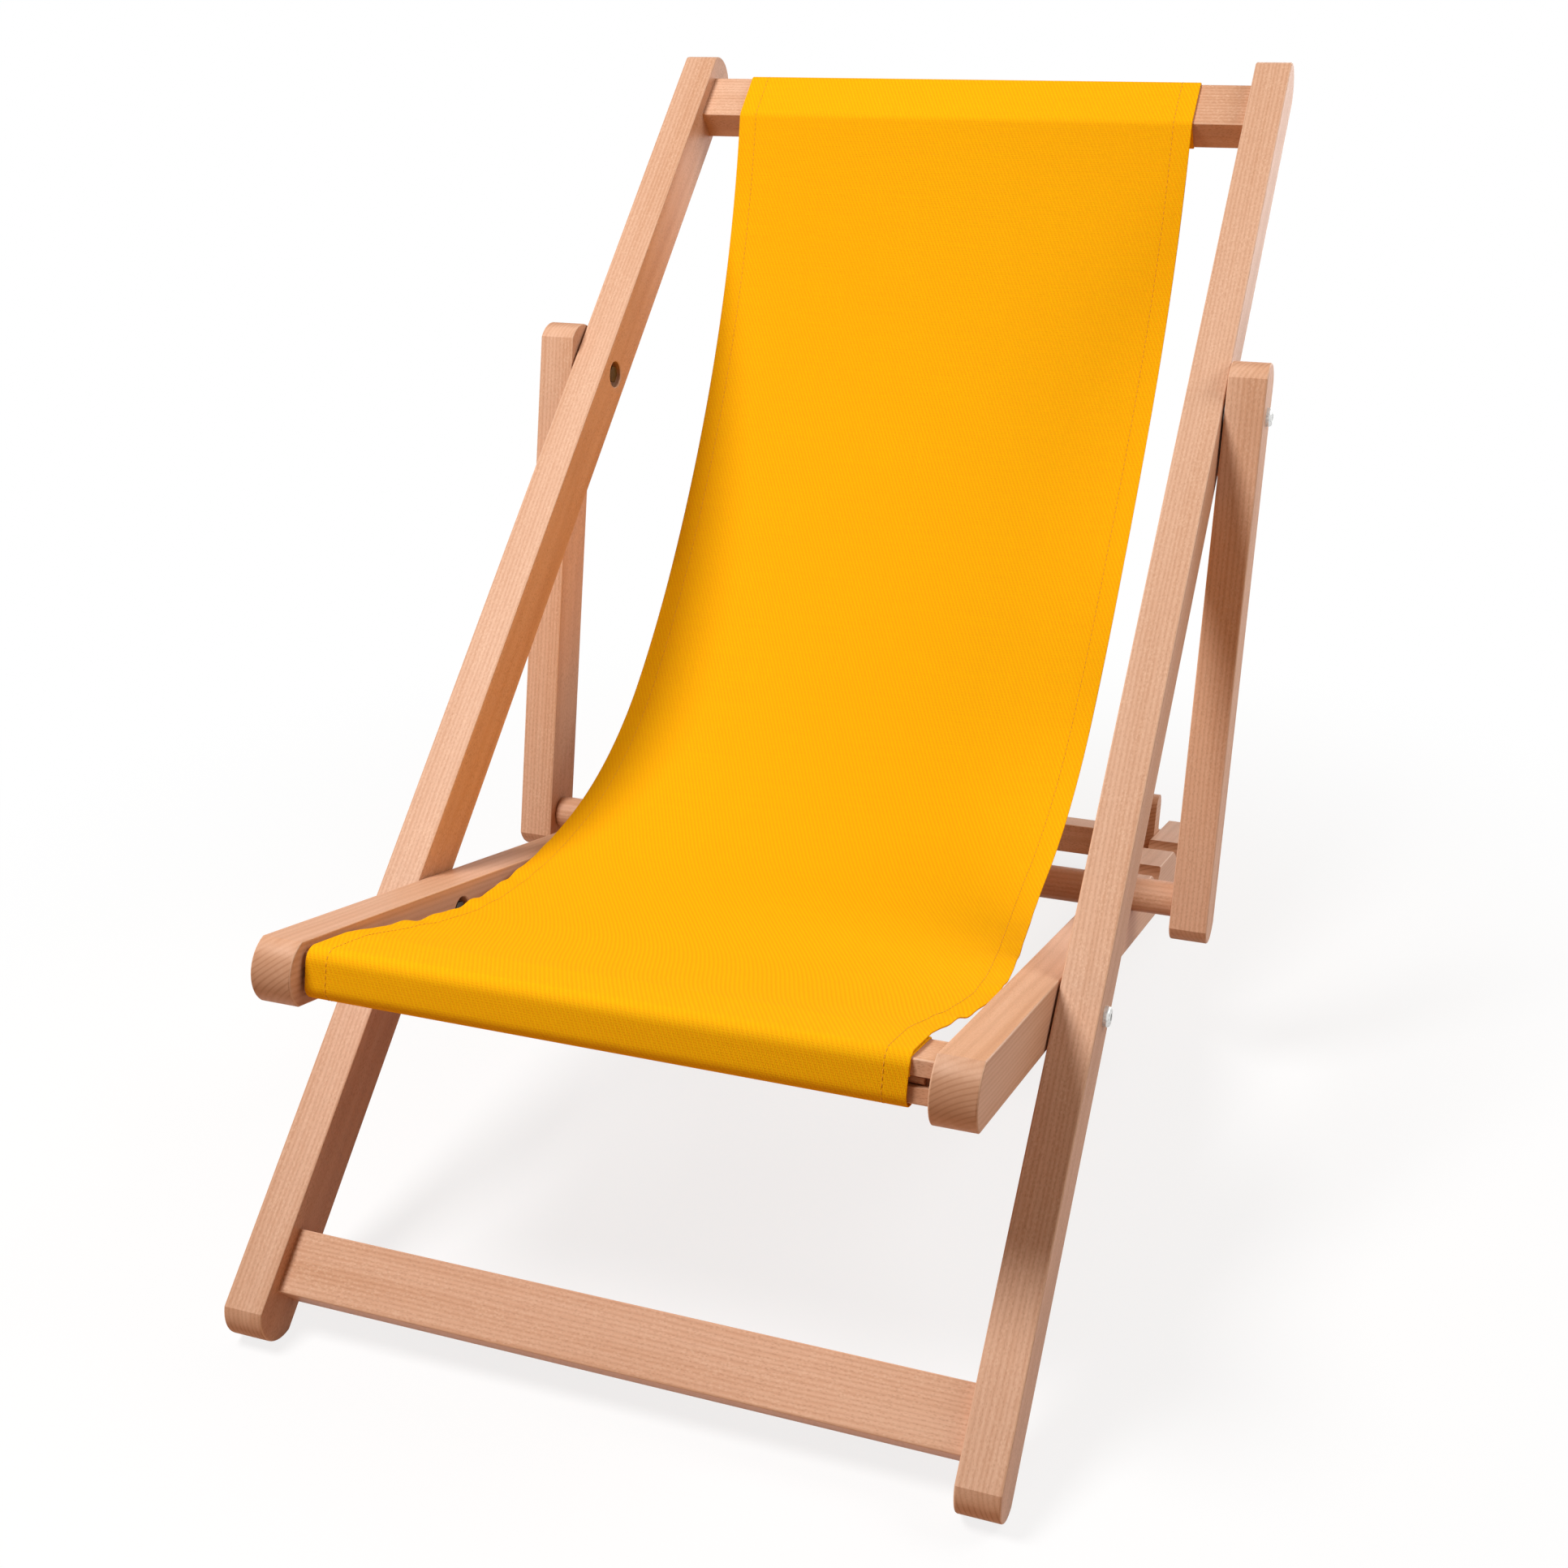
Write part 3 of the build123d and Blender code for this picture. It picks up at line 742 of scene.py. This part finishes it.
def hang(start, leave, end, arrive, count):
    """Points and ways along two tangent arcs from start to end."""
    chord = end - start
    spread = 2 * (1 - leave @ arrive)
    along = chord @ (leave + arrive)
    reach = (-along + math.sqrt(along * along + spread * (chord @ chord))) / spread
    join = (start + end + (leave - arrive) * reach) / 2
    first, first_ways = arc_points(start, leave, join, count)
    second, second_ways = arc_points(join, first_ways[-1], end, count)
    return np.vstack((first[1:], second[1:])), np.vstack((first_ways[1:], second_ways[1:]))


class SlingPath:
    """The sling's line in the side view, from the front slot to the top slot."""

    def __init__(self, cut):
        front, front_out = laid_trail("front_rail", -seat_along, seat_out, cut.front_roll, cut.dip, cut)
        top, top_out = laid_trail("top_rail", back_along, back_out, cut.top_roll, cut.rise, cut)
        pivot = middle("seat_pivot_bolts") * np.array((0.0, 1.0, 1.0))
        low = pivot + cut.sag_up * back_along - cut.sag_depth * back_out
        leave = math.cos(cut.dip) * seat_along - math.sin(cut.dip) * seat_out
        arrive = math.cos(cut.rise) * back_along + math.sin(cut.rise) * back_out
        fore, fore_ways = hang(front[-1], leave, low, back_along, 70)
        rear, rear_ways = hang(low, back_along, top[-1], arrive, 85)
        sag_out = np.array([square_to(way) for way in np.vstack((fore_ways, rear_ways))[:-1]])
        self.points = np.vstack((front, fore, rear[:-1], top[::-1]))
        self.normals = np.vstack((front_out, sag_out, top_out[::-1]))
        steps = np.linalg.norm(np.diff(self.points, axis=0), axis=1)
        self.lengths = np.concatenate(([0.0], np.cumsum(steps)))
        self.leave_at = self.lengths[len(front) - 1]
        self.arrive_at = self.lengths[len(front) + len(sag_out)]
        self.start = front[-1]
        self.end = top[-1]

    def sag_share(self, length):
        """How far along the free span a length is, from 0 at the front rail to 1 at the top rail."""
        return np.clip((length - self.leave_at) / (self.arrive_at - self.leave_at), 0.0, 1.0)

    def lift(self, length, across, cut):
        """Height of the cloth off its line: uneven sag, dish and puckered hems."""
        share = self.sag_share(length)
        span = np.sin(math.pi * share) ** 2
        reach = across / (cut.width / 2)
        lift = span * (cut.twist * reach - cut.dish * (1 - reach**2))
        gone = length - self.leave_at
        near = smooth(gone, *PUCKER_STARTS) * (1 - smooth(gone, *PUCKER_ENDS))
        phase = 1.7 if across > 0 else 0.0
        turns = gone * 2 * math.pi
        wave = np.sin(turns / PUCKER_LONG + phase) + 0.6 * np.sin(turns / PUCKER_SHORT + 2 * phase)
        edge = math.exp(-(cut.width / 2 - abs(across)) / PUCKER_REACH)
        return lift + cut.pucker * near * wave * edge

    def shift(self, length, cut):
        """Sideways place of the cloth."""
        share = self.sag_share(length)
        place = cut.front_shift + (cut.seat_shift - cut.front_shift) * smooth(share, *TO_SEAT_SHIFT)
        place = place + (cut.back_shift - cut.seat_shift) * smooth(share, *TO_BACK_SHIFT)
        return place + (cut.top_shift - cut.back_shift) * smooth(share, *TO_TOP_SHIFT)


def hem_profile(cut):
    """The cloth across its width: place, height, turn of its upper side, and flat place."""
    half = cut.width / 2
    fold = 0.55 * cut.cloth
    right = [half - fold - place for place in HEM_PLACES]
    inner = np.linspace(0.0, right[-1], 18)
    right_half = [(place, 0.0, 0.0) for place in inner[:-1]]
    right_half += [(place, 0.0, 0.0) for place in reversed(right)]
    for turn in np.linspace(0.0, math.pi, 7):
        place = half - fold + fold * math.sin(turn)
        right_half.append((place, fold * (math.cos(turn) - 1), turn))
    for back in np.linspace(0.0, cut.hem - fold, 7)[1:]:
        right_half.append((half - fold - back, -2 * fold, math.pi))
    left_half = [(-place, height, -turn) for place, height, turn in right_half[:0:-1]]
    profile = np.array(left_half + right_half)
    steps = np.linalg.norm(np.diff(profile[:, :2], axis=0), axis=1)
    flat = np.concatenate(([0.0], np.cumsum(steps)))
    return profile, flat


def grid_faces(rows, columns, first):
    """Quads of a grid of points."""
    spots = first + np.arange(rows * columns).reshape(rows, columns)
    corners = (spots[:-1, :-1], spots[:-1, 1:], spots[1:, 1:], spots[1:, :-1])
    return np.stack(corners, axis=-1).reshape(-1, 4)


def rim_faces(rows, columns):
    """Quads that close the edges between the two sides of a sheet."""
    upper = np.arange(rows * columns).reshape(rows, columns)
    loop = np.concatenate((upper[0, :-1], upper[:-1, -1], upper[-1, :0:-1], upper[:0:-1, 0]))
    after = np.roll(loop, -1)
    under = rows * columns
    return np.stack((after, loop, loop + under, after + under), axis=-1)


def mesh_piece(name, points, faces, uvs, material):
    """A smooth mesh object with its flat cloth coordinates."""
    mesh = bpy.data.meshes.new(name)
    mesh.from_pydata(points.tolist(), [], faces.tolist())
    layer = mesh.uv_layers.new(name="cloth")
    corners = np.empty(len(mesh.loops), dtype=np.int32)
    mesh.loops.foreach_get("vertex_index", corners)
    layer.data.foreach_set("uv", uvs[corners].astype(np.float32).ravel())
    mesh.materials.append(material)
    mesh.polygons.foreach_set("use_smooth", np.ones(len(mesh.polygons), dtype=bool))
    mesh.validate()
    mesh.update()
    piece = bpy.data.objects.new(name, mesh)
    bpy.context.collection.objects.link(piece)
    return piece


def sling_sheet(cut, path):
    """Points, faces and flat coordinates of the sling with its side hems turned under."""
    profile, flat_across = hem_profile(cut)
    rows = len(path.points)
    columns = len(profile)
    upper = np.empty((rows, columns, 3))
    under = np.empty((rows, columns, 3))
    flat = np.empty((rows, columns, 2))
    shifts = path.shift(path.lengths, cut)
    for column, (across, height, turn) in enumerate(profile):
        lift = path.lift(path.lengths, across, cut)
        stitch_line = abs(abs(across) - (cut.width / 2 - STITCH_INSET)) / STITCH_DIMPLE_WIDTH
        dimple = STITCH_DIMPLE * math.exp(-stitch_line * stitch_line) if abs(turn) < 1 else 0.0
        spots = path.points + path.normals * (height + lift - dimple)[:, None]
        spots = spots + np.outer(shifts + across, ACROSS)
        out = path.normals * math.cos(turn) + ACROSS * math.sin(turn)
        upper[:, column] = spots + out * (cut.cloth / 2)
        under[:, column] = spots - out * (cut.cloth / 2)
        flat[:, column, 0] = flat_across[column]
        flat[:, column, 1] = path.lengths
    points = np.vstack((upper.reshape(-1, 3), under.reshape(-1, 3)))
    over_faces = grid_faces(rows, columns, 0)
    under_faces = grid_faces(rows, columns, rows * columns)[:, ::-1]
    faces = np.vstack((over_faces, under_faces, rim_faces(rows, columns)))
    uvs = np.vstack((flat.reshape(-1, 2), flat.reshape(-1, 2)))
    return points, faces, uvs, (flat_across[-1], path.lengths[-1])


def stitch_run(cut, path, across, side):
    """One run of lockstitches along a hem, on the upper side (1) or the under side (-1)."""
    half = 0.4 * cut.stitch_pitch
    surface = cut.cloth / 2 if side > 0 else -1.6 * cut.cloth
    first = path.leave_at - STITCH_REACH
    last = path.arrive_at + STITCH_REACH
    count = int((last - first) / cut.stitch_pitch)
    middles = first + cut.stitch_pitch * np.arange(count)
    around = np.linspace(0.0, 2 * math.pi, STITCH_SIDES, endpoint=False)
    points = []
    faces = []
    uvs = []
    for spot in middles:
        base = len(points)
        for reach, swell, height in STITCH_RINGS:
            length = spot + reach * half
            centre = path_at(path.lengths, path.points, length)
            out = unit(path_at(path.lengths, path.normals, length))
            lift = float(path.lift(np.array(length), across, cut))
            rise = surface + lift + side * height * STITCH_RADIUS
            centre = centre + out * rise + ACROSS * (float(path.shift(np.array(length), cut)) + across)
            for angle in around:
                ring = ACROSS * math.cos(angle) + out * math.sin(angle)
                points.append(centre + ring * swell * STITCH_RADIUS)
                uvs.append((angle / (2 * math.pi), reach))
        for level in range(len(STITCH_RINGS) - 1):
            for i in range(STITCH_SIDES):
                a = base + level * STITCH_SIDES + i
                b = base + level * STITCH_SIDES + (i + 1) % STITCH_SIDES
                faces.append((a, b, b + STITCH_SIDES, a + STITCH_SIDES))
    return np.array(points), np.array(faces), np.array(uvs)


def path_at(lengths, values, length):
    """A value along the path, between its steps."""
    return np.array([np.interp(length, lengths, values[:, axis]) for axis in range(3)])


class DECKCHAIR_OT_stage(bpy.types.Operator):
    """Set up the floor, the studio light and the camera"""

    bl_idname = "deck_chair.stage"
    bl_label = "Stage"

    def execute(self, context):
        look = context.scene.deck_chair_stage
        scene = context.scene
        scene.view_settings.view_transform = "Standard"
        mesh = bpy.data.meshes.new("floor")
        far = FLOOR_REACH
        corners = [(-far, -far, 0), (far, -far, 0), (far, far, 0), (-far, far, 0)]
        mesh.from_pydata(corners, [], [(0, 1, 2, 3)])
        floor = bpy.data.objects.new("floor", mesh)
        scene.collection.objects.link(floor)
        floor.data.materials.append(self.floor_white())
        world = bpy.data.worlds.new("room")
        scene.world = world
        graph = Graph(world)
        light = graph.node("ShaderNodeBackground", None, {"Color": (*ROOM_TINT, 1), "Strength": look.sky})
        backdrop = graph.node("ShaderNodeBackground", None, {"Color": WHITE, "Strength": 1.0})
        surface = graph.node("ShaderNodeMixShader", None, {0: graph.shown(), 1: light, 2: backdrop})
        graph.node("ShaderNodeOutputWorld", None, {"Surface": surface})
        self.soft_light("key", look.key, *KEY_LAMP)
        self.soft_light("fill", look.fill, *FILL_LAMP)
        self.soft_light("rear", look.rear, *REAR_LAMP)
        camera = bpy.data.objects.new("camera", bpy.data.cameras.new("camera"))
        scene.collection.objects.link(camera)
        camera.data.sensor_width = SENSOR_WIDTH
        camera.data.lens = look.lens
        camera.location = CAMERA_PLACE
        camera.rotation_euler = [math.radians(angle) for angle in CAMERA_TURN]
        scene.camera = camera
        return {"FINISHED"}

    def floor_white(self):
        """White where it is seen, with the chair's shadow, and pale where it only lights the chair."""
        material = bpy.data.materials.new("floor_white")
        graph = Graph(material)
        pale = graph.node("ShaderNodeBsdfDiffuse", None, {"Color": (*BOUNCE_TINT, 1)})
        paper = graph.node("ShaderNodeBsdfDiffuse", None, {"Color": PAPER})
        glow = graph.node("ShaderNodeEmission", None, {"Color": WHITE, "Strength": 1.0})
        place = graph.node("ShaderNodeTexCoord", None, None, "Object")
        away = graph.node("ShaderNodeVectorMath", {"operation": "LENGTH"}, {0: place}, "Value")
        glow_share = graph.step(away, SHADOW_FROM, SHADOW_TO) * SHADOW_SHARE + (1 - SHADOW_SHARE)
        white = graph.node("ShaderNodeMixShader", None, {0: glow_share, 1: paper, 2: glow})
        surface = graph.node("ShaderNodeMixShader", None, {0: graph.shown(), 1: pale, 2: white})
        graph.node("ShaderNodeOutputMaterial", None, {"Surface": surface})
        return material

    def soft_light(self, name, power, size, place, aim):
        lamp = bpy.data.lights.new(name, "AREA")
        lamp.shape = "DISK"
        lamp.size = size
        lamp.energy = power
        light = bpy.data.objects.new(name, lamp)
        bpy.context.scene.collection.objects.link(light)
        light.location = place
        light.rotation_euler = (Vector(aim) - Vector(place)).to_track_quat("-Z", "Y").to_euler()


class DECKCHAIR_OT_bars(bpy.types.Operator):
    """Give the stiles, props and bar stops their beech"""

    bl_idname = "deck_chair.bars"
    bl_label = "Beech Bars"

    def execute(self, context):
        look = context.scene.deck_chair_beech
        slanted = unit(0.8 * seat_out - 0.6 * ACROSS)
        groups = (
            (BACK_BARS, back_along, ACROSS),
            (SEAT_BARS, seat_along, slanted),
            (PROP_BARS, prop_along, ACROSS),
        )
        for nodes, along, radial in groups:
            for node in nodes:
                dress(node, beech(node, along, radial, ACROSS, look))
        return {"FINISHED"}


class DECKCHAIR_OT_rails(bpy.types.Operator):
    """Give the rails, the bar, the rods and the dowels their beech"""

    bl_idname = "deck_chair.rails"
    bl_label = "Beech Rails and Rods"

    def execute(self, context):
        look = context.scene.deck_chair_beech
        for nodes, wide, out in ((BACK_RAILS, back_along, back_out), (SEAT_RAILS, seat_along, seat_out)):
            for node in nodes:
                dress(node, beech(node, ACROSS, wide, out, look))
        for node in ROUND_STOCK:
            dress(node, beech(node, ACROSS, seat_out, ACROSS, look))
        return {"FINISHED"}


class DECKCHAIR_OT_hardware(bpy.types.Operator):
    """Give the bolts, nuts, washers, nails and screws their zinc plating"""

    bl_idname = "deck_chair.hardware"
    bl_label = "Hardware"

    def execute(self, context):
        look = context.scene.deck_chair_steel
        plated = zinc_steel("zinc_steel", look)
        for node in HARDWARE:
            dress(node, plated)
        for bolts, nuts in BOLTS_AND_NUTS:
            # The bolts and nuts get painted shade near the chair's middle, in their recesses.
            shaded_zinc = zinc_steel(f"zinc_steel_{bolts}", look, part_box(nuts)[1][0])
            dress(bolts, shaded_zinc)
            dress(nuts, shaded_zinc)
        return {"FINISHED"}


class DECKCHAIR_OT_sling(bpy.types.Operator):
    """Hang the canvas sling with its hems and stitching"""

    bl_idname = "deck_chair.sling"
    bl_label = "Sling"

    def execute(self, context):
        cut = context.scene.deck_chair_sling
        path = SlingPath(cut)
        points, faces, uvs, flat = sling_sheet(cut, path)
        sheet = mesh_piece("sling_canvas", points, faces, uvs, canvas(cut))
        thread = sewing_thread(cut)
        seams = []
        line = cut.width / 2 - STITCH_INSET
        for name, across in (("left", -line), ("right", line)):
            upper = stitch_run(cut, path, across, 1)
            under = stitch_run(cut, path, across, -1)
            points = np.vstack((upper[0], under[0]))
            faces = np.vstack((upper[1], under[1] + len(upper[0])))
            uvs = np.vstack((upper[2], under[2]))
            seams.append(mesh_piece(f"hem_stitches_{name}", points, faces, uvs, thread))
        for piece in (sheet, *seams):
            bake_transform(piece)
        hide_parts("sling")
        return {"FINISHED"}


class DECKCHAIR_PT_panel(bpy.types.Panel):
    """Sidebar panel of the deck chair"""

    bl_idname = "DECKCHAIR_PT_panel"
    bl_label = "Deck Chair"
    bl_space_type = "VIEW_3D"
    bl_region_type = "UI"
    bl_category = "Deck Chair"

    def draw(self, context):
        for operator in OPERATORS:
            self.layout.operator(operator.bl_idname)
        for group in LOOKS:
            box = self.layout.box()
            looks = getattr(context.scene, group)
            for name in looks.__annotations__:
                box.prop(looks, name)


OPERATORS = (
    DECKCHAIR_OT_stage,
    DECKCHAIR_OT_bars,
    DECKCHAIR_OT_rails,
    DECKCHAIR_OT_hardware,
    DECKCHAIR_OT_sling,
)
LOOKS = {
    "deck_chair_stage": StageLook,
    "deck_chair_beech": BeechLook,
    "deck_chair_steel": SteelLook,
    "deck_chair_sling": SlingCut,
}


def register():
    for made in (*LOOKS.values(), *OPERATORS, DECKCHAIR_PT_panel):
        bpy.utils.register_class(made)
    for name, group in LOOKS.items():
        setattr(bpy.types.Scene, name, bpy.props.PointerProperty(type=group))


def unregister():
    for name in LOOKS:
        delattr(bpy.types.Scene, name)
    for made in reversed((*LOOKS.values(), *OPERATORS, DECKCHAIR_PT_panel)):
        bpy.utils.unregister_class(made)


def main():
    register()
    bpy.ops.deck_chair.stage()
    bpy.ops.deck_chair.bars()
    bpy.ops.deck_chair.rails()
    bpy.ops.deck_chair.hardware()
    bpy.ops.deck_chair.sling()
    bpy.context.view_layer.update()


if __name__ == "__main__":
    main()
